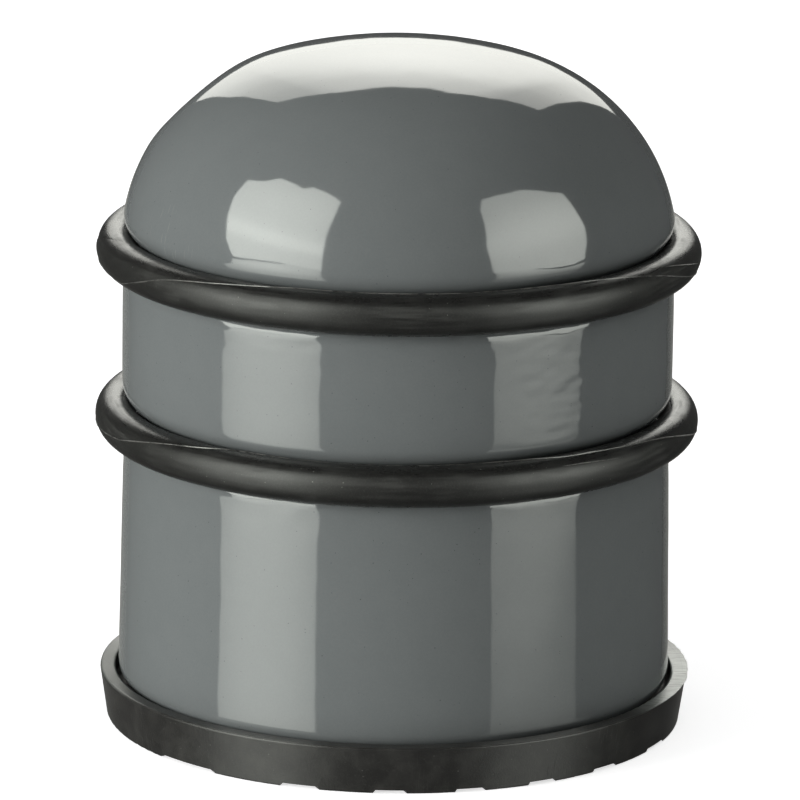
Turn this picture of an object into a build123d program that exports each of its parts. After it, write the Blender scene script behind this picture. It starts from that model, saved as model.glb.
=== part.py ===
from build123d import *
import math
import os

# A heavy floor door stop: a painted sheet-steel shell filled with a cast ballast,
# two rubber buffer rings in rolled grooves, and a rubber foot with a ribbed tread.
# It stands on the plane Z = 0, round the Z axis. Its front faces -Y.
# Driving sizes are in millimetres, angles in degrees.

# Shell
body_diameter = 76.0        # straight wall between the two rings
sheet_thickness = 0.8
low_band_flare = 0.5        # the lowest band's foot is this much larger in radius than its top
dome_flare = 0.3            # the dome's widest circle, level with the upper ring, beyond the wall
dome_rise = 28.65           # from the upper ring's centre to the top
dome_crown_radius = 66.2
bottom_corner_radius = 3.6  # where the wall is rolled under
flange_width = 3.6          # flat rim rolled inwards below the closing disc

# Grooves and rings
lower_ring_rise = 38.7      # from the shell's underside to the lower ring's centre
ring_spacing = 23.65        # from the lower ring's centre to the upper ring's centre
ring_cord_diameter = 5.7
groove_depth = 2.1
groove_ease = 0.15          # the groove's radius over the ring's
groove_shoulder_radius = 3.2
ring_seat_clearance = 0.04  # between a ring's inner side and the groove's floor

# Filling
closing_disc_thickness = 1.2
closing_disc_clearance = 0.2
ballast_shrinkage = 0.1     # gap that the filling leaves to the sheet as it sets

# Rubber foot
sole_thickness = 4.0        # from the floor to the shell's underside, tread included
lip_height = 2.7            # how far the lip stands up round the shell
lip_gap = 0.4               # between the shell's widest circle and the lip
lip_width = 2.15
foot_taper = 1.0            # the foot's underside is this much smaller in radius than its lip
recess_corner_radius = 1.4
lip_edge_radius = 0.35
sole_edge_radius = 0.3

# Tread: straight ribs across the underside, with channels between them
tread_depth = 0.5
tread_pitch = 10.6
channel_width = 4.4
channel_draft_angle = 30.0
tread_angle = 22.0          # the ribs' turn from the front-to-back line
tread_offset = -4.4         # the middle channel's distance from the axis

# Derived places
body_radius = body_diameter / 2
cord_radius = ring_cord_diameter / 2
shell_base = sole_thickness
lower_ring_height = shell_base + lower_ring_rise
upper_ring_height = lower_ring_height + ring_spacing
dome_top = upper_ring_height + dome_rise
groove_radius = cord_radius + groove_ease
groove_centre_radius = body_radius - groove_depth + groove_radius
ring_centre_radius = body_radius - groove_depth + ring_seat_clearance + cord_radius
low_band_top_radius = body_radius - low_band_flare / 2
low_band_foot_radius = body_radius + low_band_flare / 2
corner_centre_radius = low_band_foot_radius - bottom_corner_radius
disc_top = shell_base + sheet_thickness + closing_disc_thickness
recess_radius = low_band_foot_radius + lip_gap
lip_radius = recess_radius + lip_width
lip_top = sole_thickness + lip_height
sole_radius = lip_radius - foot_taper


def point(radius, height):
    """A point of a half section, which lies in the XZ plane."""
    return Vector(radius, 0, height)


def towards(start, end, distance):
    """The point that lies the given distance from start on the way to end."""
    return start + (end - start).normalized() * distance


def arc(centre, start, end):
    """The shorter arc from start to end round a centre."""
    bulge = (start - centre) + (end - centre)
    return ThreePointArc(start, centre + bulge.normalized() * (start - centre).length, end)


def shoulder_centre(wall_radius, ring_height, side):
    """Centre of the shoulder between a straight wall and a groove, above it (1) or below it (-1)."""
    inward = groove_centre_radius - (wall_radius - groove_shoulder_radius)
    rise = math.sqrt((groove_radius + groove_shoulder_radius) ** 2 - inward ** 2)
    return point(wall_radius - groove_shoulder_radius, ring_height + side * rise)


def wall_ends(low_centre, low_radius, high_centre, high_radius):
    """The straight outer tangent of two circles, from the lower one to the upper one."""
    run = high_centre - low_centre
    tilt = math.atan2(run.Z, run.X) - math.acos((low_radius - high_radius) / run.length)
    outward = point(math.cos(tilt), math.sin(tilt))
    return low_centre + outward * low_radius, high_centre + outward * high_radius


def shell_outline(inset):
    """Half section of the shell's surface, or of the surface at an inset inside it.

    It runs from the rolled flange up the wall, through both grooves, to the top of the dome.
    Every surface at an inset keeps the same arc centres, so the sheet has one thickness.
    """
    shoulder = groove_shoulder_radius - inset
    groove = groove_radius + inset
    corner = bottom_corner_radius - inset

    # Dome: a shoulder arc, tangent to the crown arc and upright at the upper ring's level.
    widest = body_radius + dome_flare
    crown_drop = dome_crown_radius - dome_rise
    haunch_radius = (dome_crown_radius ** 2 - crown_drop ** 2 - widest ** 2) / (
        2 * (dome_crown_radius - widest)
    )
    haunch_centre = point(widest - haunch_radius, upper_ring_height)
    crown_centre = point(0, dome_top - dome_crown_radius)

    # Grooves and the shoulders beside them.
    lower_groove = point(groove_centre_radius, lower_ring_height)
    upper_groove = point(groove_centre_radius, upper_ring_height)
    low_shoulder = shoulder_centre(low_band_top_radius, lower_ring_height, -1)
    mid_low_shoulder = shoulder_centre(body_radius, lower_ring_height, 1)
    mid_high_shoulder = shoulder_centre(body_radius, upper_ring_height, -1)
    span = groove_centre_radius - haunch_centre.X
    haunch_reach = haunch_radius - groove_shoulder_radius
    groove_reach = groove_radius + groove_shoulder_radius
    along = (span ** 2 + haunch_reach ** 2 - groove_reach ** 2) / (2 * span)
    dome_shoulder = haunch_centre + point(along, math.sqrt(haunch_reach ** 2 - along ** 2))

    # Points where one stretch of the outline meets the next.
    corner_centre = point(corner_centre_radius, shell_base + bottom_corner_radius)
    flange_start = point(corner_centre_radius - flange_width, shell_base + inset)
    flange_end = point(corner_centre_radius, shell_base + inset)
    low_start, low_end = wall_ends(corner_centre, corner, low_shoulder, shoulder)
    lower_groove_start = towards(lower_groove, low_shoulder, groove)
    lower_groove_end = towards(lower_groove, mid_low_shoulder, groove)
    mid_start, mid_end = wall_ends(mid_low_shoulder, shoulder, mid_high_shoulder, shoulder)
    upper_groove_start = towards(upper_groove, mid_high_shoulder, groove)
    upper_groove_end = towards(upper_groove, dome_shoulder, groove)
    dome_start = towards(haunch_centre, dome_shoulder, haunch_radius - inset)
    crown_start = towards(crown_centre, haunch_centre, dome_crown_radius - inset)
    top = point(0, dome_top - inset)

    return Wire([
        Line(flange_start, flange_end).edge(),
        arc(corner_centre, flange_end, low_start).edge(),
        Line(low_start, low_end).edge(),
        arc(low_shoulder, low_end, lower_groove_start).edge(),
        arc(lower_groove, lower_groove_start, lower_groove_end).edge(),
        arc(mid_low_shoulder, lower_groove_end, mid_start).edge(),
        Line(mid_start, mid_end).edge(),
        arc(mid_high_shoulder, mid_end, upper_groove_start).edge(),
        arc(upper_groove, upper_groove_start, upper_groove_end).edge(),
        arc(dome_shoulder, upper_groove_end, dome_start).edge(),
        arc(haunch_centre, dome_start, crown_start).edge(),
        arc(crown_centre, crown_start, top).edge(),
    ])


def turned(edges):
    """The solid that a closed half section sweeps round the Z axis."""
    return revolve(Face(Wire(edges)), Axis.Z)


def make_shell():
    """Sheet-steel shell: dome, two grooves, wall and rolled-under flange in one drawn piece."""
    outside = shell_outline(0)
    inside = shell_outline(sheet_thickness)
    flange_edge = Line(outside @ 0, inside @ 0).edge()
    axis_edge = Line(outside @ 1, inside @ 1).edge()
    return turned(outside.edges() + [axis_edge] + inside.edges() + [flange_edge])


def make_ballast():
    """Filling cast into the shell, down to the closing disc."""
    surface = shell_outline(sheet_thickness + ballast_shrinkage)
    low_point = point(0, (surface @ 0).Z)
    floor_edge = Line(surface @ 0, low_point).edge()
    axis_edge = Line(low_point, surface @ 1).edge()
    filling = turned(surface.edges() + [floor_edge, axis_edge])
    return split(filling, Plane.XY.offset(disc_top), keep=Keep.TOP)


def make_closing_disc():
    """Steel disc that closes the shell's mouth and rests on the rolled flange."""
    radius = corner_centre_radius - closing_disc_clearance
    disc = Cylinder(radius, closing_disc_thickness, align=(Align.CENTER, Align.CENTER, Align.MIN))
    return Pos(0, 0, shell_base + sheet_thickness) * disc


def make_ring(height):
    """Rubber buffer ring of round cord, seated in the groove at the given height."""
    return Pos(0, 0, height) * Torus(ring_centre_radius, cord_radius)


def tread_channel(distance):
    """One straight channel of the tread, cut from below, at a distance from the axis."""
    draft = tread_depth * math.tan(math.radians(channel_draft_angle))
    half_mouth = channel_width / 2
    half_bed = half_mouth - draft
    section = Polyline(
        (distance - half_mouth, 0, 0),
        (distance + half_mouth, 0, 0),
        (distance + half_bed, 0, tread_depth),
        (distance - half_bed, 0, tread_depth),
        close=True,
    )
    return extrude(make_face(section.edges()), lip_radius, both=True)


def rounded(section, corner, radius):
    """The section with its vertex nearest to the given corner rounded."""
    vertex = section.vertices().sort_by_distance(corner)[0]
    return fillet(vertex, radius)


def make_foot():
    """Rubber foot: a shallow tapered cup round the shell's lower edge, with a ribbed tread."""
    sole_edge = point(sole_radius, 0)
    lip_outside = point(lip_radius, lip_top)
    lip_inside = point(recess_radius, lip_top)
    recess_corner = point(recess_radius, sole_thickness)
    outline = Polyline(
        point(0, 0),
        sole_edge,
        lip_outside,
        lip_inside,
        recess_corner,
        point(0, sole_thickness),
        close=True,
    )
    recess_wall = lip_height - lip_edge_radius
    section = make_face(outline.edges())
    section = rounded(section, sole_edge, sole_edge_radius)
    section = rounded(section, lip_outside, lip_edge_radius)
    section = rounded(section, lip_inside, lip_edge_radius)
    section = rounded(section, recess_corner, min(recess_corner_radius, 0.8 * recess_wall))
    cup = revolve(section, Axis.Z)

    reach = math.ceil((sole_radius + abs(tread_offset)) / tread_pitch)
    steps = range(-reach, reach + 1)
    channels = [tread_channel(tread_offset + step * tread_pitch) for step in steps]
    return cup - [Rot(Z=tread_angle) * channel for channel in channels]


parts = {
    "shell": make_shell(),
    "ballast": make_ballast(),
    "closing_disc": make_closing_disc(),
    "lower_ring": make_ring(lower_ring_height),
    "upper_ring": make_ring(upper_ring_height),
    "rubber_foot": make_foot(),
}

os.makedirs("parts", exist_ok=True)
for name, solid in parts.items():
    export_step(solid, f"parts/{name}.step")
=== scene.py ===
import math
import bpy
from mathutils import Matrix, Vector, noise


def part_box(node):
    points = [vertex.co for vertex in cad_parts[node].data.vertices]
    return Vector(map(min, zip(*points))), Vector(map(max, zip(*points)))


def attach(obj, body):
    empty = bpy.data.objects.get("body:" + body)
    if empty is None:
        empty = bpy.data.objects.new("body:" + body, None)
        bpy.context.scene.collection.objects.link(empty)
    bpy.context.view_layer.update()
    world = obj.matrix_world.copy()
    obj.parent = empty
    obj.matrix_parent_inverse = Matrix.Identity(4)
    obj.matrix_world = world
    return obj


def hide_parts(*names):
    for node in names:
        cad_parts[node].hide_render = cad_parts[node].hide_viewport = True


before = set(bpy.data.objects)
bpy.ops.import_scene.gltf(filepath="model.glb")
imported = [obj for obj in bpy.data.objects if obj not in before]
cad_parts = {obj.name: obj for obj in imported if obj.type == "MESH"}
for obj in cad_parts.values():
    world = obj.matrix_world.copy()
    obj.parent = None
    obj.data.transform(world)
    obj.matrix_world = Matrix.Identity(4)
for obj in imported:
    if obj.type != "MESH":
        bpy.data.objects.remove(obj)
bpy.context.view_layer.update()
mm = 0.001
print("frame loaded:", ", ".join(sorted(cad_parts)))

# Azimuths are in degrees: 0 faces the camera (-Y), and they grow towards +X.

camera = {
    "target": Vector((0.433, 0, 44.6)) * mm,
    "distance": 1.2,
    "elevation": 14.63,
    "roll": 0.815,
    "lens": 390.8,
}

studio = {
    "floorTone": 0.9,
    "floorDrop": 0.02 * mm,  # the floor lies this far under the foot
    "floorGlow": 0.23,
    "floorLift": 0.46,  # more glow for the camera and in gloss and glass, so that the floor is white
    "backdropTone": 0.97,
    "stageRadius": 4.0,
    "backdropHeight": 5.0,
    "world": 0.06,
    # azimuth, elevation, strength, apparent size
    "suns": {
        "keyLight": (-65, 9, 3.62, 40),
        "topLight": (0, 90, 1.2, 120),
    },
}

# The light cards that the gloss mirrors. They stand round the middle of the dome, at a
# distance in metres. An outline is a list of (azimuth, elevation). Glow stations are
# (elevation, strength in the middle, strength at the ends), and spread is the share of the
# half width where the ends begin.
cardPlace = {"centre": Vector((0, 0, 78)) * mm}
coolTint = (0.965, 1.0, 0.93, 1)
warmTint = (1.0, 1.0, 0.94, 1)
lightCards = {
    "leftSoftBox": {
        "tint": coolTint,
        "outline": ((-32, 7), (-49, 9), (-60, 8), (-72, 6), (-78, 13), (-83, 24), (-86, 30),
                    (-88, 39), (-81, 43), (-75, 48), (-57, 48.5), (-53, 51), (-43, 50), (-33, 47),
                    (-33, 31)),
        "glow": ((3, 8.1, 6.3), (10, 8.6, 6.7), (14, 8.9, 7.0), (19, 10.9, 8.4), (23, 9.5, 7.4),
                 (28, 8.7, 6.8), (34, 8.5, 6.6), (49, 7.0, 5.4)),
        "spread": 1.0,
        "distance": 2.0,
    },
    # the same light again further down, past a thin dark gap
    "leftLowGlow": {
        "tint": coolTint,
        "outline": ((-31.5, -55), (-77, -55), (-77, -13), (-72.5, -6), (-72, 4.5), (-60, 7),
                    (-49, 8.2), (-46, 8.6), (-32, 7)),
        "glow": ((-55, 0.3, 0.16), (-32, 2.0, 1.1), (-21, 3.8, 2.1), (-14, 4.3, 2.4), (-8, 5.6, 3.1),
                 (9, 7.6, 4.2)),
        "spread": 1.0,
        "distance": 2.0,
    },
    "rightSoftBox": {
        "tint": coolTint,
        "outline": ((82, 4), (75, 1.6), (69, 0.8), (62, 3.5), (59, 4.7), (39.5, 4.8), (38.5, 21),
                    (41, 33), (42, 41), (46, 46.5), (61, 46), (69, 45), (75, 42), (82, 38),
                    (89, 33), (87.5, 27), (87, 17), (85, 10)),
        "glow": ((-3, 5.4, 4.4), (10, 5.8, 4.7), (20, 6.9, 5.5), (28, 6.2, 4.9), (36, 5.0, 4.0),
                 (45, 4.3, 3.5)),
        "spread": 1.0,
        "distance": 2.0,
    },
    "rightLowGlow": {
        "tint": coolTint,
        "outline": ((79.5, -55), (40, -55), (40, -15), (39.5, 4.8), (56, 4.6), (59, 3), (62, -0.6),
                    (69, -4.5), (75, -2), (80.5, 1.5), (79.5, -15)),
        "glow": ((-55, 0.3, 0.2), (-42, 1.2, 0.9), (-31, 2.0, 1.5), (-25, 1.2, 0.9), (-20, 0.95, 0.62),
                 (-18, 1.1, 0.7), (-16, 1.9, 1.2), (-14, 2.3, 1.5), (-10, 3.0, 1.9), (6, 5.4, 3.5)),
        "spread": 1.0,
        "distance": 0.7,
    },
    "backPanel": {
        "tint": warmTint,
        "outline": ((160, 6.5), (172, 5), (188, 5), (200, 9), (205.5, 25), (209, 43.5),
                    (197, 45), (185, 43.5), (174, 43.5), (161.5, 45.5), (147.5, 42), (153, 30)),
        "glow": ((5, 2.0, 2.0), (12, 2.65, 2.35), (18, 3.45, 2.7), (24, 4.3, 2.75), (30, 4.75, 2.65),
                 (36, 4.15, 2.55), (45, 4.0, 2.5)),
        "spread": 0.45,
        "distance": 2.0,
    },
    # a faint glow that shows in the outermost edges of the walls
    "rearGlow": {
        "tint": warmTint,
        "outline": ((152, -30), (212, -30), (212, -9), (152, -9)),
        "glow": ((-30, 0.28, 0.0), (-9, 0.26, 0.0)),
        "spread": 1.0,
        "distance": 2.0,
    },
}


# Mesh helpers

def linkMesh(name, vertices, faces, material):
    mesh = bpy.data.meshes.new(name)
    mesh.from_pydata(vertices, [], faces)
    mesh.materials.append(material)
    thing = bpy.data.objects.new(name, mesh)
    bpy.context.scene.collection.objects.link(thing)
    return thing


def smoothFaces(thing, creaseAngle):
    for face in thing.data.polygons:
        face.use_smooth = True
    thing.data.set_sharp_from_angle(angle=math.radians(creaseAngle))


def heading(azimuth):
    turn = math.radians(azimuth)
    return Vector((math.sin(turn), -math.cos(turn), 0))


def stepsBetween(length, spacing):
    return max(1, math.ceil(length / spacing))


def straight(start, end, spacing):
    steps = stepsBetween((end - start).length, spacing)
    return [start.lerp(end, step / steps) for step in range(steps)]


# The shorter arc from start to end; its last point is left to the next stretch.
def arc(centre, start, end, spacing):
    radius = (start - centre).length
    first = math.atan2(start.y - centre.y, start.x - centre.x)
    sweep = (math.atan2(end.y - centre.y, end.x - centre.x) - first + math.pi) % math.tau - math.pi
    steps = stepsBetween(abs(sweep) * radius, spacing)
    turns = [first + sweep * step / steps for step in range(steps)]
    return [centre + radius * Vector((math.cos(turn), math.sin(turn))) for turn in turns]


# Turns a closed section of (radius, height) points round the Z axis.
def turnSection(section, steps):
    vertices, faces, rows = [], [], []
    for radius, height in section:
        first = len(vertices)
        if radius < 0.001 * mm:
            vertices.append((0, 0, height))
            rows.append([first] * steps)
            continue
        for step in range(steps):
            turn = math.tau * step / steps
            vertices.append((radius * math.cos(turn), radius * math.sin(turn), height))
        rows.append(range(first, first + steps))
    for row, above in zip(rows, rows[1:] + rows[:1]):
        for step in range(steps):
            after = (step + 1) % steps
            corners = list(dict.fromkeys((row[step], row[after], above[after], above[step])))
            if len(corners) > 2:
                faces.append(corners)
    return vertices, faces


# Material helpers

def addNode(tree, kind, settings=(), **inputs):
    node = tree.nodes.new(kind)
    for key, value in dict(settings).items():
        setattr(node, key, value)
    for key, value in inputs.items():
        feed(tree, value, node.inputs[key.replace("_", " ")])
    return node


def feed(tree, value, socket):
    if isinstance(value, bpy.types.NodeSocket):
        tree.links.new(value, socket)
    else:
        socket.default_value = value


def calculate(tree, operation, first, second=0.5, third=0.5, clamp=False):
    node = addNode(tree, "ShaderNodeMath", {"operation": operation, "use_clamp": clamp})
    for socket, value in zip(node.inputs, (first, second, third)):
        feed(tree, value, socket)
    return node.outputs[0]


def calculateVector(tree, operation, first, second=None, scale=None):
    node = addNode(tree, "ShaderNodeVectorMath", {"operation": operation})
    feed(tree, first, node.inputs[0])
    if second is not None:
        feed(tree, second, node.inputs[1])
    if scale is not None:
        feed(tree, scale, node.inputs["Scale"])
    return node.outputs["Value" if operation in ("LENGTH", "DISTANCE", "DOT_PRODUCT") else "Vector"]


def blendColours(tree, share, first, second):
    node = addNode(tree, "ShaderNodeMix", {"data_type": "RGBA"})
    # the mix node keeps its colour sockets at places 6 and 7, and its colour result at 2
    feed(tree, share, node.inputs[0])
    feed(tree, first, node.inputs[6])
    feed(tree, second, node.inputs[7])
    return node.outputs[2]


# Maps a span of values to another span, and holds the ends.
def remap(tree, value, fromLow, fromHigh, toLow=0.0, toHigh=1.0):
    node = addNode(tree, "ShaderNodeMapRange", {"interpolation_type": "SMOOTHSTEP"})
    for socket, number in zip(node.inputs, (value, fromLow, fromHigh, toLow, toHigh)):
        feed(tree, number, socket)
    return node.outputs[0]


def newGroup(name, inputs, outputs):
    tree = bpy.data.node_groups.new(name, "ShaderNodeTree")
    for label, value in inputs.items():
        kind = "NodeSocketVector" if isinstance(value, tuple) else "NodeSocketFloat"
        socket = tree.interface.new_socket(label, in_out="INPUT", socket_type=kind)
        socket.default_value = value
    for label in outputs:
        tree.interface.new_socket(label, in_out="OUTPUT", socket_type="NodeSocketFloat")
    start = tree.nodes.new("NodeGroupInput")
    end = tree.nodes.new("NodeGroupOutput")
    return tree, start.outputs, end.inputs


def useGroup(tree, group, **inputs):
    node = tree.nodes.new("ShaderNodeGroup")
    node.node_tree = group
    for key, value in inputs.items():
        feed(tree, value, node.inputs[key.replace("_", " ")])
    return node.outputs


def objectPosition(tree):
    return addNode(tree, "ShaderNodeTexCoord").outputs["Object"]


def scaledPosition(tree, size):
    return calculateVector(tree, "SCALE", objectPosition(tree), scale=calculate(tree, "DIVIDE", 1.0, size))


def splitPosition(tree):
    return addNode(tree, "ShaderNodeSeparateXYZ", Vector=objectPosition(tree)).outputs


# A place's coordinates, its distance from the Z axis and its direction from that axis.
def aroundAxis(tree):
    parts = splitPosition(tree)
    flat = addNode(tree, "ShaderNodeCombineXYZ", X=parts["X"], Y=parts["Y"]).outputs[0]
    distance = calculateVector(tree, "LENGTH", flat)
    return parts, distance, calculateVector(tree, "NORMALIZE", flat)


# Marks that run round the object have their stated length at these distances from the axis.
wallMarkRadius = 38 * mm
lipMarkRadius = 40 * mm


# Uneven tone or height, from 0 to 1, with waves of the given size.
def buildUnevenness():
    tree, given, result = newGroup("unevenness", {"Size": 1 * mm, "Roughness": 0.5}, ["Value"])
    wave = addNode(tree, "ShaderNodeTexNoise", Vector=scaledPosition(tree, given["Size"]),
                   Scale=1.0, Detail=3.0, Roughness=given["Roughness"])
    feed(tree, wave.outputs["Fac"], result["Value"])
    return tree


# Scattered dots: dust, lint and grit in a surface.
def buildSpecks():
    tree, given, result = newGroup("specks", {"Spacing": 2 * mm, "Dot": 0.08, "Share": 0.5}, ["Mask"])
    cells = addNode(tree, "ShaderNodeTexVoronoi", Vector=scaledPosition(tree, given["Spacing"]), Scale=1.0)
    shade = addNode(tree, "ShaderNodeSeparateColor", Color=cells.outputs["Color"])
    dot = calculate(tree, "MULTIPLY", given["Dot"], shade.outputs["Green"])
    inside = calculate(tree, "LESS_THAN", cells.outputs["Distance"], dot)
    chosen = calculate(tree, "LESS_THAN", shade.outputs["Red"], given["Share"])
    feed(tree, calculate(tree, "MULTIPLY", inside, chosen), result["Mask"])
    return tree


# How far a place lies from the Z axis.
def buildAxisDistance():
    tree, _, result = newGroup("axisDistance", {}, ["Value"])
    feed(tree, aroundAxis(tree)[1], result["Value"])
    return tree


# Streaks that run round the Z axis, as turning, rubbing or moulding leaves them.
def buildRoundStreaks():
    tree, given, result = newGroup("roundStreaks", {"Along": 8 * mm, "Across": 0.3 * mm}, ["Value"])
    parts, distance, outward = aroundAxis(tree)
    turns = calculate(tree, "DIVIDE", wallMarkRadius, given["Along"])
    level = addNode(tree, "ShaderNodeCombineXYZ",
                    Z=calculate(tree, "DIVIDE", parts["Z"], given["Across"])).outputs[0]
    spot = calculateVector(tree, "ADD", calculateVector(tree, "SCALE", outward, scale=turns), level)
    wave = addNode(tree, "ShaderNodeTexNoise", {"noise_dimensions": "4D"}, Vector=spot,
                   W=calculate(tree, "DIVIDE", distance, given["Across"]), Scale=1.0, Detail=2.0)
    feed(tree, wave.outputs["Fac"], result["Value"])
    return tree


# Short upright marks that come in patches: light scratches and rubs.
def buildStrokes():
    tree, given, result = newGroup(
        "strokes", {"Spacing": 1 * mm, "Length": 2 * mm, "Thin": 0.05, "Share": 0.5, "Patches": 0.55},
        ["Mask"])
    mostLean = 0.8  # sideways for each unit of height
    strokeEnds = (0.4, 0.15)  # a stroke fades between these shares of its cell's height
    patchSize = 9 * mm
    parts = splitPosition(tree)
    turn = calculate(tree, "ARCTAN2", parts["X"], calculate(tree, "MULTIPLY", parts["Y"], -1.0))
    length = calculate(tree, "MULTIPLY", turn, wallMarkRadius)
    around = calculate(tree, "DIVIDE", length, given["Spacing"])
    up = calculate(tree, "DIVIDE", parts["Z"], given["Length"])
    spot = addNode(tree, "ShaderNodeCombineXYZ", X=around, Y=up).outputs[0]
    cells = addNode(tree, "ShaderNodeTexVoronoi", {"voronoi_dimensions": "2D"}, Vector=spot, Scale=1.0)
    offset = calculateVector(tree, "SUBTRACT", spot, cells.outputs["Position"])
    away = addNode(tree, "ShaderNodeSeparateXYZ", Vector=offset).outputs
    shade = addNode(tree, "ShaderNodeSeparateColor", Color=cells.outputs["Color"]).outputs
    lean = calculate(tree, "MULTIPLY", calculate(tree, "SUBTRACT", shade["Green"], 0.5), mostLean)
    sideways = calculate(tree, "ABSOLUTE", calculate(tree, "MULTIPLY_ADD", away["Y"], lean, away["X"]))
    thin = remap(tree, sideways, given["Thin"], 0.0)
    ends = remap(tree, calculate(tree, "ABSOLUTE", away["Y"]), *strokeEnds)
    chosen = calculate(tree, "LESS_THAN", shade["Red"], given["Share"])
    patches = addNode(tree, "ShaderNodeTexNoise", Vector=scaledPosition(tree, patchSize), Scale=1.0,
                      Detail=0.0)
    kept = remap(tree, patches.outputs["Fac"], given["Patches"], 0.7)
    mark = calculate(tree, "MULTIPLY", calculate(tree, "MULTIPLY", thin, ends), chosen)
    feed(tree, calculate(tree, "MULTIPLY", mark, kept), result["Mask"])
    return tree


# A soft patch round one place: 1 in its middle, 0 from its reach on.
def buildPatch():
    tree, given, result = newGroup("patch", {"Place": (0, 0, 0), "Reach": 5 * mm}, ["Mask"])
    away = calculateVector(tree, "DISTANCE", objectPosition(tree), given["Place"])
    share = calculate(tree, "DIVIDE", away, given["Reach"])
    feed(tree, remap(tree, share, 1.0, 0.3), result["Mask"])
    return tree


# Fine marks that run straight out from the Z axis.
def buildSpokes():
    tree, given, result = newGroup("spokes", {"Spacing": 0.4 * mm, "Length": 3 * mm}, ["Value"])
    _, distance, outward = aroundAxis(tree)
    turns = calculate(tree, "DIVIDE", lipMarkRadius, given["Spacing"])
    wave = addNode(tree, "ShaderNodeTexNoise", {"noise_dimensions": "4D"},
                   Vector=calculateVector(tree, "SCALE", outward, scale=turns),
                   W=calculate(tree, "DIVIDE", distance, given["Length"]), Scale=1.0, Detail=2.0)
    feed(tree, wave.outputs["Fac"], result["Value"])
    return tree


unevenness = buildUnevenness()
specks = buildSpecks()
axisDistance = buildAxisDistance()
roundStreaks = buildRoundStreaks()
strokes = buildStrokes()
patch = buildPatch()
spokes = buildSpokes()


def newMaterial(name, shader="ShaderNodeBsdfPrincipled"):
    material = bpy.data.materials.new(name)
    material.use_nodes = True
    tree = material.node_tree
    tree.nodes.clear()
    surface = addNode(tree, shader)
    output = addNode(tree, "ShaderNodeOutputMaterial")
    tree.links.new(surface.outputs[0], output.inputs["Surface"])
    return material, tree, surface.inputs


def addBump(tree, surface, height, depth):
    bump = addNode(tree, "ShaderNodeBump", Height=height, Distance=depth, Strength=1.0)
    tree.links.new(bump.outputs[0], surface["Normal"])


enamelFinish = {
    "colour": (0.147, 0.161, 0.158, 1),
    "paleColour": (0.160, 0.173, 0.170, 1),
    "speckColour": (0.070, 0.076, 0.074, 1),
    "scratchColour": (0.33, 0.34, 0.33, 1),
    "roughness": 0.05,
    "mottleSize": 3.5 * mm,
    "fineSize": 0.3 * mm,
    "fineShare": 0.6,
    "dustSpacing": 0.8 * mm,
    "orangePeel": 1.6 * mm,
    "peelDepth": 0.0016 * mm,
    "turningDepth": 0.0012 * mm,  # faint rings that polishing leaves under the paint
    "turningSize": (14 * mm, 0.5 * mm),
    # light scratches on the dome's left
    "scratchPlace": tuple(Vector((-30.5, -22, 72.5)) * mm),
    "scratchReach": 9 * mm,
    "scratchLength": 2.2 * mm,
    "scratchStrength": 0.5,
}


def makeEnamel(finish):
    material, tree, surface = newMaterial("greyEnamel")
    mottle = useGroup(tree, unevenness, Size=finish["mottleSize"])["Value"]
    dust = useGroup(tree, specks, Spacing=finish["dustSpacing"], Dot=0.10, Share=0.5)["Mask"]
    fine = useGroup(tree, unevenness, Size=finish["fineSize"], Roughness=0.8)["Value"]
    scratched = useGroup(tree, patch, Place=finish["scratchPlace"], Reach=finish["scratchReach"])["Mask"]
    scratch = useGroup(tree, strokes, Spacing=0.9 * mm, Length=finish["scratchLength"], Thin=0.07,
                       Share=0.35, Patches=0.35)["Mask"]
    scratch = calculate(tree, "MULTIPLY", scratch, scratched)
    share = finish["fineShare"]
    tone = calculate(tree, "MULTIPLY_ADD", remap(tree, fine, 0.35, 0.65), share, mottle)
    ground = blendColours(tree, calculate(tree, "SUBTRACT", tone, share / 2), finish["colour"],
                          finish["paleColour"])
    dusty = blendColours(tree, dust, ground, finish["speckColour"])
    faint = calculate(tree, "MULTIPLY", scratch, finish["scratchStrength"])
    feed(tree, blendColours(tree, faint, dusty, finish["scratchColour"]), surface["Base Color"])
    worn = calculate(tree, "MULTIPLY_ADD", scratch, 0.12, finish["roughness"])
    feed(tree, calculate(tree, "MULTIPLY_ADD", mottle, 0.02, worn), surface["Roughness"])
    peel = useGroup(tree, unevenness, Size=finish["orangePeel"], Roughness=0.35)["Value"]
    along, across = finish["turningSize"]
    turned = useGroup(tree, roundStreaks, Along=along, Across=across)["Value"]
    share = finish["turningDepth"] / finish["peelDepth"]
    addBump(tree, surface, calculate(tree, "MULTIPLY_ADD", turned, share, peel), finish["peelDepth"])
    return material


ringFinish = {
    "colour": (0.0105, 0.0105, 0.0095, 1),
    "bloomColour": (0.019, 0.019, 0.0175, 1),
    "grainColour": (0.025, 0.025, 0.023, 1),
    "lintColour": (0.11, 0.11, 0.10, 1),
    # the flash's pale colour is a painted highlight along its ridge
    "flashHighlightColour": (0.12, 0.12, 0.11, 1),
    "roughness": 0.27,
    "faceRoughness": 0.40,  # the face that doors knock against is worn dull
    "face": (40.6 * mm, 41.35 * mm),  # from this distance to the axis on, and wholly from the second
    "patchRoughness": 0.16,  # added where the bloom lies
    "shine": 0.34,
    "cloudSize": 5 * mm,
    "grainSize": 0.25 * mm,
    "grainDepth": 0.016 * mm,
    "streakSize": (5 * mm, 0.4 * mm),
    "streakDepth": 0.014 * mm,
    "lintSpacing": 0.8 * mm,
    "flashRoughness": 0.32,
    "flashShine": 0.5,
}


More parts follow.
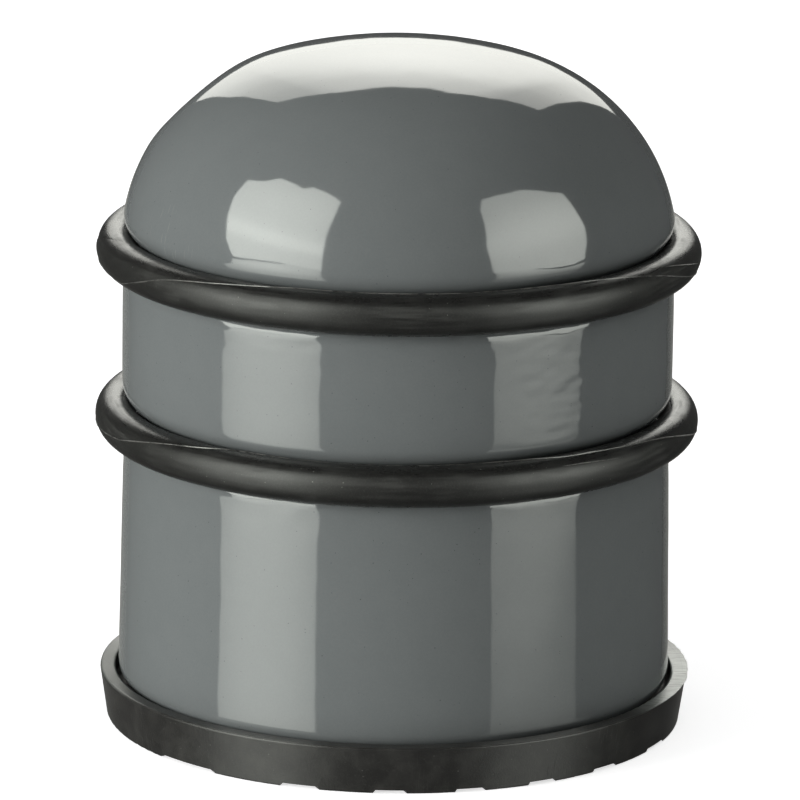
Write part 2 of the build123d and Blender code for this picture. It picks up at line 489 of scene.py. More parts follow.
def makeRingRubber(finish):
    material, tree, surface = newMaterial("ringRubber")
    along, across = finish["streakSize"]
    streak = useGroup(tree, roundStreaks, Along=along, Across=across)["Value"]
    cloud = useGroup(tree, unevenness, Size=finish["cloudSize"], Roughness=0.6)["Value"]
    grain = useGroup(tree, unevenness, Size=finish["grainSize"], Roughness=0.7)["Value"]
    lint = useGroup(tree, specks, Spacing=finish["lintSpacing"], Dot=0.12, Share=0.3)["Mask"]
    reach = useGroup(tree, axisDistance)["Value"]
    worn = remap(tree, reach, *finish["face"], finish["roughness"], finish["faceRoughness"])
    surface["Specular IOR Level"].default_value = finish["shine"]
    bloom = calculate(tree, "MULTIPLY", remap(tree, streak, 0.35, 0.7), remap(tree, cloud, 0.3, 0.7))
    ground = blendColours(tree, bloom, finish["colour"], finish["bloomColour"])
    grainy = blendColours(tree, remap(tree, grain, 0.45, 0.75), ground, finish["grainColour"])
    feed(tree, blendColours(tree, lint, grainy, finish["lintColour"]), surface["Base Color"])
    patchy = calculate(tree, "MULTIPLY", remap(tree, streak, 0.35, 0.65), remap(tree, cloud, 0.4, 0.65))
    feed(tree, calculate(tree, "MULTIPLY_ADD", patchy, finish["patchRoughness"], worn),
         surface["Roughness"])
    share = finish["streakDepth"] / finish["grainDepth"]
    rise = calculate(tree, "MULTIPLY", streak, remap(tree, cloud, 0.35, 0.6, 0.2, 1.0))
    addBump(tree, surface, calculate(tree, "MULTIPLY_ADD", rise, share, grain), finish["grainDepth"])
    return material


# The thin skin of rubber at the mould's joint: its pale, patchy colour is a painted highlight along the
# ridge.
def makeFlashRubber(finish):
    material, tree, surface = newMaterial("flashRubber")
    highlightPatches = useGroup(tree, unevenness, Size=1.2 * mm, Roughness=0.6)["Value"]
    colour = blendColours(tree, remap(tree, highlightPatches, 0.35, 0.6), finish["bloomColour"],
                          finish["flashHighlightColour"])
    feed(tree, colour, surface["Base Color"])
    surface["Roughness"].default_value = finish["flashRoughness"]
    surface["Specular IOR Level"].default_value = finish["flashShine"]
    return material


footFinish = {
    "colour": (0.0200, 0.0197, 0.0182, 1),
    "dustColour": (0.038, 0.0375, 0.034, 1),
    "lintColour": (0.12, 0.12, 0.11, 1),
    "scuffAndSheenColour": (0.345, 0.380, 0.350, 1),
    "roughness": 0.24,
    "blotchSize": 3.5 * mm,
    "blotchRoughness": 0.14,
    "shine": 0.36,
    "grainSize": 0.3 * mm,
    "grainDepth": 0.024 * mm,
    "lintSpacing": 0.8 * mm,
    # the lip's top is pale on its right, partly real scuffs and partly a painted sheen, and dull on its
    # left with a little of that painted paleness
    "rightScuffAndSheen": tuple(Vector((39.5, -5, 6.7)) * mm),
    "leftDull": tuple(Vector((-39.5, -4, 6.7)) * mm),
    "scuffReach": 20 * mm,
    "scuffSpacing": 0.22 * mm,
    "dullSheenPaleness": 0.17,
    "dullRoughness": 0.18,
    "lipTop": (6.40 * mm, 6.62 * mm),  # the pale patch, partly a painted sheen, starts at this height, and is whole at the second
}


def makeFootRubber(finish):
    material, tree, surface = newMaterial("footRubber")
    grain = useGroup(tree, unevenness, Size=finish["grainSize"], Roughness=0.7)["Value"]
    lint = useGroup(tree, specks, Spacing=finish["lintSpacing"], Dot=0.12, Share=0.4)["Mask"]
    rub = useGroup(tree, strokes, Spacing=0.5 * mm, Length=3 * mm, Thin=0.12, Share=0.6,
                   Patches=0.5)["Mask"]
    spoke = useGroup(tree, spokes, Spacing=finish["scuffSpacing"])["Value"]
    height = splitPosition(tree)["Z"]
    right = useGroup(tree, patch, Place=finish["rightScuffAndSheen"], Reach=finish["scuffReach"])["Mask"]
    left = useGroup(tree, patch, Place=finish["leftDull"], Reach=finish["scuffReach"])["Mask"]
    onTop = remap(tree, height, *finish["lipTop"])
    # the lip's top made pale: partly real radial scuff marks, partly a painted sheen
    scuffAndSheen = calculate(tree, "MULTIPLY", calculate(tree, "MULTIPLY", right, onTop),
                      remap(tree, spoke, 0.36, 0.54, 0.25, 1.0))
    dull = calculate(tree, "MULTIPLY", left, onTop)
    scuffAndSheen = calculate(tree, "MULTIPLY_ADD", dull, finish["dullSheenPaleness"], scuffAndSheen)
    blotch = useGroup(tree, unevenness, Size=finish["blotchSize"], Roughness=0.6)["Value"]
    dusty = blendColours(tree, remap(tree, blotch, 0.35, 0.8), finish["colour"], finish["dustColour"])
    grainy = blendColours(tree, remap(tree, grain, 0.5, 0.85), dusty, finish["dustColour"])
    marks = calculate(tree, "MAXIMUM", lint, calculate(tree, "MULTIPLY", rub, 0.3))
    marked = blendColours(tree, calculate(tree, "MULTIPLY", marks, 0.6), grainy, finish["lintColour"])
    feed(tree, blendColours(tree, scuffAndSheen, marked, finish["scuffAndSheenColour"]), surface["Base Color"])
    smooth = calculate(tree, "MULTIPLY_ADD", blotch, finish["blotchRoughness"], finish["roughness"])
    feed(tree, calculate(tree, "MULTIPLY_ADD", dull, finish["dullRoughness"], smooth),
         surface["Roughness"])
    surface["Specular IOR Level"].default_value = finish["shine"]
    addBump(tree, surface, calculate(tree, "MULTIPLY_ADD", rub, 0.5, grain), finish["grainDepth"])
    return material


fillingFinish = {
    "colour": (0.34, 0.33, 0.31, 1),
    "sandColour": (0.22, 0.21, 0.19, 1),
    "stoneColour": (0.12, 0.115, 0.11, 1),
    "cloudSize": 4 * mm,
    "stoneSpacing": 2.2 * mm,
    "roughness": 0.92,
    "grainSize": 0.8 * mm,
    "grainDepth": 0.08 * mm,
}


def makeFilling(finish):
    material, tree, surface = newMaterial("castFilling")
    cloud = useGroup(tree, unevenness, Size=finish["cloudSize"])["Value"]
    stones = useGroup(tree, specks, Spacing=finish["stoneSpacing"], Dot=0.5, Share=0.5)["Mask"]
    sandy = blendColours(tree, cloud, finish["colour"], finish["sandColour"])
    feed(tree, blendColours(tree, stones, sandy, finish["stoneColour"]), surface["Base Color"])
    surface["Roughness"].default_value = finish["roughness"]
    grain = useGroup(tree, unevenness, Size=finish["grainSize"], Roughness=0.7)["Value"]
    addBump(tree, surface, calculate(tree, "ADD", grain, stones), finish["grainDepth"])
    return material


discFinish = {
    "colour": (0.55, 0.55, 0.54, 1),
    "tarnishColour": (0.36, 0.35, 0.33, 1),
    "cloudSize": 9 * mm,
    "roughness": 0.3,
    "brushRoughness": 0.2,
    "brushSize": (14 * mm, 0.15 * mm),
    "brushDepth": 0.004 * mm,
}


def makeDiscSteel(finish):
    material, tree, surface = newMaterial("closingDiscSteel")
    along, across = finish["brushSize"]
    brushed = useGroup(tree, roundStreaks, Along=along, Across=across)["Value"]
    cloud = useGroup(tree, unevenness, Size=finish["cloudSize"])["Value"]
    feed(tree, blendColours(tree, cloud, finish["colour"], finish["tarnishColour"]),
         surface["Base Color"])
    surface["Metallic"].default_value = 1.0
    feed(tree, calculate(tree, "MULTIPLY_ADD", brushed, finish["brushRoughness"], finish["roughness"]),
         surface["Roughness"])
    addBump(tree, surface, brushed, finish["brushDepth"])
    return material


enamel = makeEnamel(enamelFinish)
ringRubber = makeRingRubber(ringFinish)
flashRubber = makeFlashRubber(ringFinish)
footRubber = makeFootRubber(footFinish)
filling = makeFilling(fillingFinish)
discSteel = makeDiscSteel(discFinish)
print("finishes mixed")


# The painted shell: one drawn sheet, from the rolled-under rim to the top of the dome.
shellShape = {
    "bodyRadius": 38.0 * mm,
    "sheet": 0.8 * mm,
    "lowBandFlare": 0.5 * mm,
    "domeFlare": 0.3 * mm,
    "domeRise": 28.65 * mm,
    "crownRadius": 66.2 * mm,
    "cornerRadius": 3.6 * mm,
    "rimWidth": 3.6 * mm,
    "grooveDepth": 2.1 * mm,
    "grooveRadius": 3.0 * mm,
    "shoulderRadius": 3.2 * mm,
    "steps": 300,
    "outerSpacing": 0.3 * mm,
    "innerSpacing": 1.2 * mm,
    # a shallow flat that a knock left on the dome's left shoulder
    "dentAzimuth": -105,
    "dentHeight": 85.4 * mm,
    "dentRise": 7.0 * mm,
    "dentReach": 12.0 * mm,
    "dentDepth": 0.66 * mm,
    # slow waves that the drawing leaves in the sheet
    "waveSize": 8.0 * mm,
    "waveDepth": 0.045 * mm,
    "finerWaves": ((2.7, 0.4), (7, 0.12)),  # how many times smaller, and how strong
    # small crinkles where the sheet curls into a groove: ring, height from its middle, depth
    "crinkleSize": 2.6 * mm,
    "crinkleSquash": 3,
    "crinkleReach": 2.6 * mm,
    "crinkles": (("lower_ring", -4.9 * mm, 0.10 * mm), ("lower_ring", 4.6 * mm, 0.02 * mm),
                 ("upper_ring", -4.6 * mm, 0.10 * mm)),
    # a patch of small ripples in the wall between the rings
    "rippleAzimuth": 36,
    "rippleHeight": 55 * mm,
    "rippleReach": 10.0 * mm,
    "rippleSize": 2.0 * mm,
    "rippleSquash": 1.8,  # how much lower than wide a ripple is
    "rippleDepth": 0.12 * mm,
    # the walls ease inward towards the rings: ring, height from its middle, depth
    "easeReach": 1.9 * mm,
    "eases": (("lower_ring", -3.15 * mm, 0.03 * mm), ("lower_ring", 3.2 * mm, 0.055 * mm),
              ("upper_ring", -3.15 * mm, 0.03 * mm)),
}


def ringLine(node):
    low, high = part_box(node)
    cord = (high.z - low.z) / 2
    return high.x - cord, (low.z + high.z) / 2, cord


def shoulderCentre(shape, wallRadius, groove, side):
    inward = groove.x - (wallRadius - shape["shoulderRadius"])
    rise = math.sqrt((shape["grooveRadius"] + shape["shoulderRadius"]) ** 2 - inward ** 2)
    return Vector((wallRadius - shape["shoulderRadius"], groove.y + side * rise))


# The straight tangent outside two circles, from the lower one to the upper one.
def wallEnds(low, lowRadius, high, highRadius):
    run = high - low
    tilt = math.atan2(run.y, run.x) - math.acos((lowRadius - highRadius) / run.length)
    outward = Vector((math.cos(tilt), math.sin(tilt)))
    return low + outward * lowRadius, high + outward * highRadius


def toward(start, end, distance):
    return start + (end - start).normalized() * distance


# Half section of the sheet's surface, or of a surface inside it, from the rim up to the axis.
# Its points are closest together, at the fine spacing, where it curves most.
def shellOutline(shape, inset, fine):
    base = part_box("shell")[0].z
    lowerHeight = ringLine("lower_ring")[1]
    upperHeight = ringLine("upper_ring")[1]
    body = shape["bodyRadius"]
    shoulder = shape["shoulderRadius"] - inset
    groove = shape["grooveRadius"] + inset
    corner = shape["cornerRadius"] - inset
    grooveReach = shape["grooveRadius"] + shape["shoulderRadius"]
    lowerGroove = Vector((body - shape["grooveDepth"] + shape["grooveRadius"], lowerHeight))
    upperGroove = Vector((lowerGroove.x, upperHeight))

    widest = body + shape["domeFlare"]
    drop = shape["crownRadius"] - shape["domeRise"]
    haunchRadius = (shape["crownRadius"] ** 2 - drop ** 2 - widest ** 2) / (
        2 * (shape["crownRadius"] - widest))
    haunch = Vector((widest - haunchRadius, upperHeight))
    crown = Vector((0, upperHeight - drop))
    lowShoulder = shoulderCentre(shape, body - shape["lowBandFlare"] / 2, lowerGroove, -1)
    midLowShoulder = shoulderCentre(shape, body, lowerGroove, 1)
    midHighShoulder = shoulderCentre(shape, body, upperGroove, -1)
    span = upperGroove.x - haunch.x
    haunchReach = haunchRadius - shape["shoulderRadius"]
    along = (span ** 2 + haunchReach ** 2 - grooveReach ** 2) / (2 * span)
    domeShoulder = haunch + Vector((along, math.sqrt(haunchReach ** 2 - along ** 2)))
    footRadius = body + shape["lowBandFlare"] / 2
    cornerCentre = Vector((footRadius - shape["cornerRadius"], base + shape["cornerRadius"]))

    rimStart = Vector((cornerCentre.x - shape["rimWidth"], base + inset))
    rimEnd = Vector((cornerCentre.x, base + inset))
    lowStart, lowEnd = wallEnds(cornerCentre, corner, lowShoulder, shoulder)
    lowerIn = toward(lowerGroove, lowShoulder, groove)
    lowerOut = toward(lowerGroove, midLowShoulder, groove)
    midStart, midEnd = wallEnds(midLowShoulder, shoulder, midHighShoulder, shoulder)
    upperIn = toward(upperGroove, midHighShoulder, groove)
    upperOut = toward(upperGroove, domeShoulder, groove)
    domeStart = toward(haunch, domeShoulder, haunchRadius - inset)
    crownStart = toward(crown, haunch, shape["crownRadius"] - inset)
    top = Vector((0, upperHeight + shape["domeRise"] - inset))
    return [
        *straight(rimStart, rimEnd, 2 * fine),
        *arc(cornerCentre, rimEnd, lowStart, fine),
        *straight(lowStart, lowEnd, 4 * fine),
        *arc(lowShoulder, lowEnd, lowerIn, fine),
        *arc(lowerGroove, lowerIn, lowerOut, 3 * fine),
        *arc(midLowShoulder, lowerOut, midStart, fine),
        *straight(midStart, midEnd, 1.8 * fine),
        *arc(midHighShoulder, midEnd, upperIn, fine),
        *arc(upperGroove, upperIn, upperOut, 3 * fine),
        *arc(domeShoulder, upperOut, domeStart, fine),
        *arc(haunch, domeStart, crownStart, 2 * fine),
        *arc(crown, crownStart, top, 3 * fine),
        top,
    ]


def squashedNoise(place, squash, size):
    return 0.5 + 0.5 * noise.noise(Vector((place.x, place.y, squash * place.z)) / size)


# How far the sheet lies inside its true form at a place.
def sheetSink(shape, ringHeights, place):
    spot = heading(shape["dentAzimuth"])
    flat = Vector((place.x, place.y, 0))
    sideways = (flat - spot * flat.length).length / shape["dentReach"]
    away = math.hypot(sideways, (place.z - shape["dentHeight"]) / shape["dentRise"])
    sink = math.cos(min(away, 1) * math.pi / 2) ** 2 * shape["dentDepth"]
    scaled = place / shape["waveSize"]
    wave = noise.noise(scaled)
    for times, strength in shape["finerWaves"]:
        wave += strength * noise.noise(scaled * times)
    sink += shape["waveDepth"] * (0.5 + 0.5 * max(-1, min(1, wave)))
    rippled = heading(shape["rippleAzimuth"]) * flat.length + Vector((0, 0, shape["rippleHeight"]))
    fade = max(0, 1 - ((place - rippled).length / shape["rippleReach"]) ** 2)
    ripple = squashedNoise(place, shape["rippleSquash"], shape["rippleSize"])
    sink += shape["rippleDepth"] * fade * ripple
    for ring, rise, depth in shape["eases"]:
        away = (place.z - ringHeights[ring] - rise) / shape["easeReach"]
        sink += depth * math.exp(-away ** 2)
    crinkle = squashedNoise(place, shape["crinkleSquash"], shape["crinkleSize"])
    for ring, rise, depth in shape["crinkles"]:
        away = (place.z - ringHeights[ring] - rise) / shape["crinkleReach"]
        sink += depth * crinkle * math.exp(-away ** 2)
    return sink


# Sinks a mesh of the sheet; its vertices from innerStart on are on the sheet's inner side.
def sinkSheet(thing, shape, innerStart):
    ringHeights = {ring: ringLine(ring)[1] for ring in ("lower_ring", "upper_ring")}
    normals = [vertex.normal.copy() for vertex in thing.data.vertices]
    for vertex, normal in zip(thing.data.vertices, normals):
        side = -1 if vertex.index < innerStart else 1
        vertex.co += normal * side * sheetSink(shape, ringHeights, vertex.co)


def makeShell(shape, material):
    outside = shellOutline(shape, 0, shape["outerSpacing"])
    inside = shellOutline(shape, shape["sheet"], shape["innerSpacing"])
    vertices, faces = turnSection(outside + inside[::-1], shape["steps"])
    shell = linkMesh("paintedShell", vertices, faces, material)
    innerStart = (len(outside) - 1) * shape["steps"] + 1
    sinkSheet(shell, shape, innerStart)
    smoothFaces(shell, 35)
    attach(shell, "root")
    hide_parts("shell")


# The filling is cast into the shell, so it follows the shell's inner side.
fillingShape = {"shrinkage": 0.1 * mm, "steps": 200, "spacing": 0.8 * mm}


def makeFillingPiece(shape, fillShape, material):
    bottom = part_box("ballast")[0].z
    surface = shellOutline(shape, shape["sheet"] + fillShape["shrinkage"], fillShape["spacing"])
    wall = [spot for spot in surface if spot.y > bottom + 0.01 * mm]
    section = [Vector((0, bottom)), Vector((wall[0].x, bottom)), *wall]
    vertices, faces = turnSection(section, fillShape["steps"])
    cast = linkMesh("castBallast", vertices, faces, material)
    sinkSheet(cast, shape, len(vertices))
    smoothFaces(cast, 35)
    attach(cast, "root")
    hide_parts("ballast")


makeShell(shellShape, enamel)
makeFillingPiece(shellShape, fillingShape, filling)
print("shell and filling formed")


# The rubber rings: round cord, with the mould's flash line wandering over it.
# A flash course is a list of (azimuth, angle on the cord): 0 faces outward, 90 faces up.
ringShape = {
    "steps": 600,
    "cordSteps": 44,
    "flashWidth": 0.22 * mm,
    "flashHeight": 0.13 * mm,
    "flashRoot": 0.03 * mm,  # how deep its edges lie in the cord
    "flashWave": 2.5 * mm,
    "flashSteps": 360,
}
# Where the upper cord's two ends meet. The joint leans over the cord: its course is a list
# of (angle on the cord, azimuth past the joint's foot). Columns are offsets in degrees.
cordJoint = {
    "azimuth": -88.0,
    "course": ((0, 0), (24, 0), (49, 6), (64, 10), (77, 12), (87, 15), (130, 20), (200, 20),
               (340, 0), (360, 0)),
    "columns": (-1.2, -0.32, -0.2, -0.1, 0.0, 0.1, 0.2, 0.32, 1.2),
    # where the joint leans, its columns are this much further apart
    "stretch": ((0, 1), (24, 1), (45, 3.4), (87, 3.4), (120, 1), (360, 1)),
    "gapWidth": 0.2,
    "gapDepth": 0.28 * mm,
    "step": 0.20 * mm,
    "stepReach": 8.0,
    "leanReach": 45.0,
}
flashCourses = {
    "upper_ring": [
        ((-66, -35), (-57, 2), (-49, 33), (-37, 58), (-26, 80), (-16, 105), (4, 104), (21, 105),
         (39, 86), (53, 53), (80, -29), (118, -70), (165, -35), (215, 20), (262, -20), (294, -35)),
        ((58, 67), (66, 43), (79, 4)),
    ],
    "lower_ring": [
        ((-65, 6), (-56, 32), (-49, 51), (-41, 70), (-31, 107), (0, 116), (22, 104), (34, 78),
         (42, 73), (51, 63), (62, 46), (84, -15), (125, -50), (180, 15), (240, -25), (278, -12),
         (295, 6)),
        ((33, 44), (40, 41), (48, 32)),
    ],
}


def cordPoint(radius, height, cord, azimuth, angle, lift):
    outward = heading(azimuth)
    turn = math.radians(angle)
    normal = outward * math.cos(turn) + Vector((0, 0, math.sin(turn)))
    return outward * radius + Vector((0, 0, height)) + normal * (cord + lift), normal


# Smooth course through the given stations, evenly stepped by azimuth.
def smoothCourse(course, count):
    stations = [Vector(station) for station in course]
    path = []
    first, last = stations[0].x, stations[-1].x
    for step in range(count + 1):
        azimuth = first + (last - first) * step / count
        index = max(i for i, spot in enumerate(stations[:-1]) if spot.x <= azimuth + 1e-6)
        before, start = stations[max(index - 1, 0)], stations[index]
        end, after = stations[index + 1], stations[min(index + 2, len(stations) - 1)]
        share = (azimuth - start.x) / (end.x - start.x)
        slopeIn = (end.y - before.y) / (end.x - before.x) * (end.x - start.x)
        slopeOut = (after.y - start.y) / (after.x - start.x) * (end.x - start.x)
        cube, square = share ** 3, share ** 2
        angle = ((2 * cube - 3 * square + 1) * start.y + (cube - 2 * square + share) * slopeIn
                 + (3 * square - 2 * cube) * end.y + (cube - square) * slopeOut)
        path.append((azimuth, angle))
    return path


# A thin ridge along a course: two edges just under the cord's surface and a crest above it.
def flashRidge(shape, line, course, firstIndex):
    radius, height, cord = line
    span = course[-1][0] - course[0][0]
    whole = abs(span - 360) < 0.01
    count = max(8, round(shape["flashSteps"] * span / 360))
    path = smoothCourse(course, count)
    if whole:
        path = path[:-1]
    spots = [cordPoint(radius, height, cord, azimuth, angle, 0) for azimuth, angle in path]
    vertices, faces = [], []
    for index, (place, normal) in enumerate(spots):
        before = spots[index - 1][0] if index or whole else place
        after = spots[(index + 1) % len(spots)][0] if index + 1 < len(spots) or whole else place
        side = (after - before).cross(normal).normalized()
        fade = 1 if whole else max(0.05, math.sin(math.pi * index / (len(spots) - 1))) ** 0.5
        crest = shape["flashHeight"] * fade * (0.75 + 0.4 * noise.noise(place / shape["flashWave"]))
        half = side * shape["flashWidth"] / 2 * fade
        sunk = normal * shape["flashRoot"]
        vertices += [place - half - sunk, place + normal * crest, place + half - sunk]
    links = len(spots) if whole else len(spots) - 1
    for index in range(links):
        row = firstIndex + 3 * index
        ahead = firstIndex + 3 * ((index + 1) % len(spots))
        for corner in range(3):
            turn = (corner + 1) % 3
            faces.append((row + corner, row + turn, ahead + turn, ahead + corner))
    if not whole:
        last = firstIndex + 3 * (len(spots) - 1)
        faces += [(firstIndex + 2, firstIndex + 1, firstIndex), (last, last + 1, last + 2)]
    return vertices, faces


def courseAt(course, place):
    for (start, low), (end, high) in zip(course, course[1:]):
        if place <= end:
            return low + (high - low) * (place - start) / (end - start)
    return course[-1][1]


# The azimuths of a ring's columns, closer together at the joint.
def ringColumns(shape, joint):
    even = [360 * step / shape["steps"] - 180 for step in range(shape["steps"])]
    if not joint:
        return even
    away = max(joint["columns"])
    kept = [azimuth for azimuth in even if abs(azimuth - joint["azimuth"]) > away + 0.1]
    return sorted(kept + [joint["azimuth"] + offset for offset in joint["columns"]])


# A point of the cord, pushed in at the joint and leaned along it.
def jointedPoint(line, joint, azimuth, angle):
    if not joint:
        return cordPoint(*line, azimuth, angle, 0)[0]
    offset = azimuth - joint["azimuth"]
    lean = courseAt(joint["course"], angle) * max(0, 1 - abs(offset) / joint["leanReach"])
    lift = -joint["gapDepth"] * max(0, 1 - abs(offset) / joint["gapWidth"])
    if offset < 0:
        lift -= joint["step"] * math.exp(offset / joint["stepReach"])
    if abs(offset) < 1:
        azimuth += offset * (courseAt(joint["stretch"], angle) - 1)
    return cordPoint(*line, azimuth + lean, angle, lift)[0]


def makeRing(node, name, shape, courses, joint, materials):
    line = ringLine(node)
    columns = ringColumns(shape, joint)
    around = shape["cordSteps"]
    vertices = [jointedPoint(line, joint, azimuth, 360 * turn / around)
                for azimuth in columns for turn in range(around)]
    faces = []
    for column in range(len(columns)):
        row, ahead = column * around, (column + 1) % len(columns) * around
        faces += [(row + turn, ahead + turn, ahead + (turn + 1) % around, row + (turn + 1) % around)
                  for turn in range(around)]
    cordFaces = len(faces)
    for course in courses:
        ridge, ridgeFaces = flashRidge(shape, line, course, len(vertices))
        vertices += ridge
        faces += ridgeFaces
    ring = linkMesh(name, vertices, faces, materials[0])
    ring.data.materials.append(materials[1])
    for face in ring.data.polygons[cordFaces:]:
        face.material_index = 1
    smoothFaces(ring, 50)
    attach(ring, "root")
    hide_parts(node)


ringMaterials = (ringRubber, flashRubber)
makeRing("lower_ring", "lowerBuffer", ringShape, flashCourses["lower_ring"], None, ringMaterials)
makeRing("upper_ring", "upperBuffer", ringShape, flashCourses["upper_ring"], cordJoint, ringMaterials)
print("buffer rings moulded")


# Rubber that squeezed out of the foot's mould: a thin skin round the lip's outer edge.
lipShape = {
    "steps": 480,
    # azimuth, and how far it stands out from the lip in millimetres
    "overhang": ((-180, 0.08), (-150, 0.0), (-140, -0.35), (-60, -0.35), (-35, 0.0), (0, 0.04),
                 (40, 0.08), (65, 0.16), (85, 0.32), (110, 0.30), (150, 0.12), (180, 0.08)),
    "thickness": 0.10 * mm,
    # where the skin grows from the rubber: (outward, up) from the lip's top corner
    "topRoot": ((-0.55 * mm, -0.05 * mm), (-0.45 * mm, 0.01 * mm)),
    "sideRoot": (-0.30 * mm, -0.45 * mm),
    "waveSize": 1.6 * mm,
    "waveHeight": 0.02 * mm,
}


def makeLipSkin(shape, material):
    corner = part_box("rubber_foot")[1]
    vertices, faces = [], []
    for step in range(shape["steps"]):
        azimuth = 360 * step / shape["steps"] - 180
        out = heading(azimuth)
        wave = noise.noise(out * corner.x / shape["waveSize"])
        rise = shape["waveHeight"] * wave
        reach = courseAt(shape["overhang"], azimuth) * (1 + 0.35 * wave) * mm + rise
        section = (*shape["topRoot"], (reach, rise), (reach, rise - shape["thickness"]),
                   shape["sideRoot"])
        vertices += [out * (corner.x + along) + Vector((0, 0, corner.z + up)) for along, up in section]
    count = len(section)
    for step in range(shape["steps"]):
        row, ahead = step * count, (step + 1) % shape["steps"] * count
        faces += [(row + turn, row + (turn + 1) % count, ahead + (turn + 1) % count, ahead + turn)
                  for turn in range(count)]
    skin = linkMesh("footLipSkin", vertices, faces, material)
    smoothFaces(skin, 30)
    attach(skin, "root")


makeLipSkin(lipShape, footRubber)
print("foot's lip trimmed")

for node, material in {"shell": enamel, "ballast": filling, "closing_disc": discSteel,
                       "lower_ring": ringRubber, "upper_ring": ringRubber,
                       "rubber_foot": footRubber}.items():
    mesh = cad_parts[node].data
    mesh.materials.clear()
    mesh.materials.append(material)
print("finishes put on")


# The studio: floor, backdrop, soft boxes, lamps and camera.

def cardPoint(azimuth, elevation, distance):
    rise = math.radians(elevation)
    aim = heading(azimuth) * math.cos(rise) + Vector((0, 0, math.sin(rise)))
    return cardPlace["centre"] + aim * distance


# A curve through (height, strength) stations, as a share of the peak.
def strengthCurve(tree, height, stations, peak):
    low, high = stations[0][0], stations[-1][0]
    share = calculate(tree, "DIVIDE", calculate(tree, "SUBTRACT", height, low), high - low)
    curve = addNode(tree, "ShaderNodeFloatCurve", Value=share)
    line = curve.mapping.curves[0]
    places = [((level - low) / (high - low), strength / peak) for level, strength in stations]
    line.points[0].location, line.points[1].location = places[0], places[-1]
    for spot in places[1:-1]:
        line.points.new(*spot)
    curve.mapping.update()
    return curve.outputs[0]


def cardMaterial(name, card, middle, halfSpan):
    material, tree, light = newMaterial(name, "ShaderNodeEmission")
    place = objectPosition(tree)
    height = addNode(tree, "ShaderNodeSeparateXYZ", Vector=place).outputs["Z"]
    distance = card["distance"]
    levels = [cardPoint(middle, station[0], distance).z for station in card["glow"]]
    peak = max(station[1] for station in card["glow"])
    inner, outer = [strengthCurve(tree, height, [(level, station[row]) for level, station
                                                 in zip(levels, card["glow"])], peak) for row in (1, 2)]
    side = heading(middle + 90) / (distance * math.sin(math.radians(halfSpan)) * card["spread"])
    across = calculateVector(tree, "DOT_PRODUCT", place, side)
    square = calculate(tree, "POWER", across, 2.0, clamp=True)
    change = calculate(tree, "SUBTRACT", outer, inner)
    strength = calculate(tree, "MULTIPLY", calculate(tree, "MULTIPLY_ADD", change, square, inner), peak)
    feed(tree, card["tint"], light["Color"])
    feed(tree, strength, light["Strength"])
    return material


def hideFrom(thing, *rays):
    for ray in rays:
        setattr(thing, "visible_" + ray, False)


# A card shows in gloss only: the lamps light the object, and the cards are what it mirrors.
def makeCard(name, card):
    azimuths = [azimuth for azimuth, _ in card["outline"]]
    middle = (min(azimuths) + max(azimuths)) / 2
    halfSpan = (max(azimuths) - min(azimuths)) / 2
    corners = [cardPoint(*corner, card["distance"]) for corner in card["outline"]]
    material = cardMaterial(name, card, middle, halfSpan)
    thing = linkMesh(name, corners, [tuple(range(len(corners)))], material)
    hideFrom(thing, "camera", "diffuse", "shadow", "transmission")


def makeFloor(look):
    material, tree, surface = newMaterial("paleFloor")
    tone = look["floorTone"]
    surface["Base Color"].default_value = (tone, tone, tone, 1)
    surface["Roughness"].default_value = 1.0
    surface["Specular IOR Level"].default_value = 0.0
    surface["Emission Color"].default_value = (1, 1, 1, 1)
    rays = addNode(tree, "ShaderNodeLightPath").outputs
    seen = calculate(tree, "MAXIMUM", rays["Is Camera Ray"], rays["Is Glossy Ray"])
    seen = calculate(tree, "MAXIMUM", seen, rays["Is Transmission Ray"])
    feed(tree, calculate(tree, "MULTIPLY_ADD", seen, look["floorLift"], look["floorGlow"]),
         surface["Emission Strength"])
    side = 2 * look["stageRadius"]
    level = -look["floorDrop"]
    corners = [(-side, -side, level), (side, -side, level), (side, side, level), (-side, side, level)]
    floor = linkMesh("paleFloor", corners, [(0, 1, 2, 3)], material)
    hideFrom(floor, "glossy")


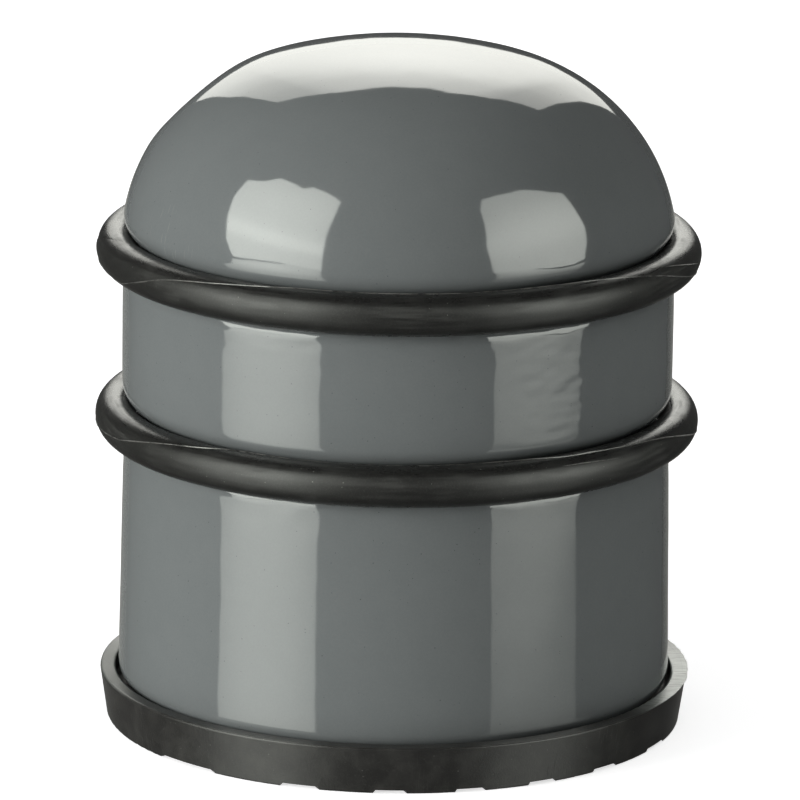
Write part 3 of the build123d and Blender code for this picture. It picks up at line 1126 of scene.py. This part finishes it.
def makeBackdrop(look):
    material, _, light = newMaterial("paleBackdrop", "ShaderNodeEmission")
    tone = look["backdropTone"]
    light["Color"].default_value = (tone, tone, tone, 1)
    light["Strength"].default_value = 1.0
    radius, height, steps = look["stageRadius"], look["backdropHeight"], 64
    edge = [heading(360 * step / steps) * radius for step in range(steps)]
    vertices = edge + [spot + Vector((0, 0, height)) for spot in edge]
    faces = [(step, (step + 1) % steps, steps + (step + 1) % steps, steps + step) for step in range(steps)]
    backdrop = linkMesh("paleBackdrop", vertices, faces, material)
    hideFrom(backdrop, "diffuse", "glossy", "shadow", "transmission")


def makeSun(name, azimuth, elevation, strength, size):
    lamp = bpy.data.lights.new(name, "SUN")
    lamp.energy = strength
    lamp.angle = math.radians(size)
    sun = bpy.data.objects.new(name, lamp)
    rise = math.radians(elevation)
    aim = heading(azimuth) * math.cos(rise) + Vector((0, 0, math.sin(rise)))
    sun.rotation_mode = "QUATERNION"
    sun.rotation_quaternion = aim.to_track_quat("Z", "Y")
    sun.visible_glossy = False
    bpy.context.scene.collection.objects.link(sun)


def makeWorld(look):
    world = bpy.data.worlds.new("softRoom")
    world.use_nodes = True
    background = world.node_tree.nodes["Background"]
    background.inputs["Color"].default_value = (1, 1, 1, 1)
    background.inputs["Strength"].default_value = look["world"]
    bpy.context.scene.world = world


def makeCamera(shot):
    eye = bpy.data.cameras.new("photoCamera")
    eye.sensor_width = 36
    eye.lens = shot["lens"]
    eye.clip_start, eye.clip_end = 0.05, 50
    viewer = bpy.data.objects.new("photoCamera", eye)
    rise = math.radians(shot["elevation"])
    back = Vector((0, -math.cos(rise), math.sin(rise)))
    tilt = Matrix.Rotation(math.pi / 2 - rise, 4, "X") @ Matrix.Rotation(math.radians(shot["roll"]), 4, "Z")
    viewer.matrix_world = Matrix.Translation(shot["target"] + back * shot["distance"]) @ tilt
    bpy.context.scene.collection.objects.link(viewer)
    bpy.context.scene.camera = viewer


makeFloor(studio)
makeBackdrop(studio)
for name, card in lightCards.items():
    makeCard(name, card)
for name, values in studio["suns"].items():
    makeSun(name, *values)
makeWorld(studio)
makeCamera(camera)
bpy.context.scene.view_settings.view_transform = "Standard"
print("studio lit")
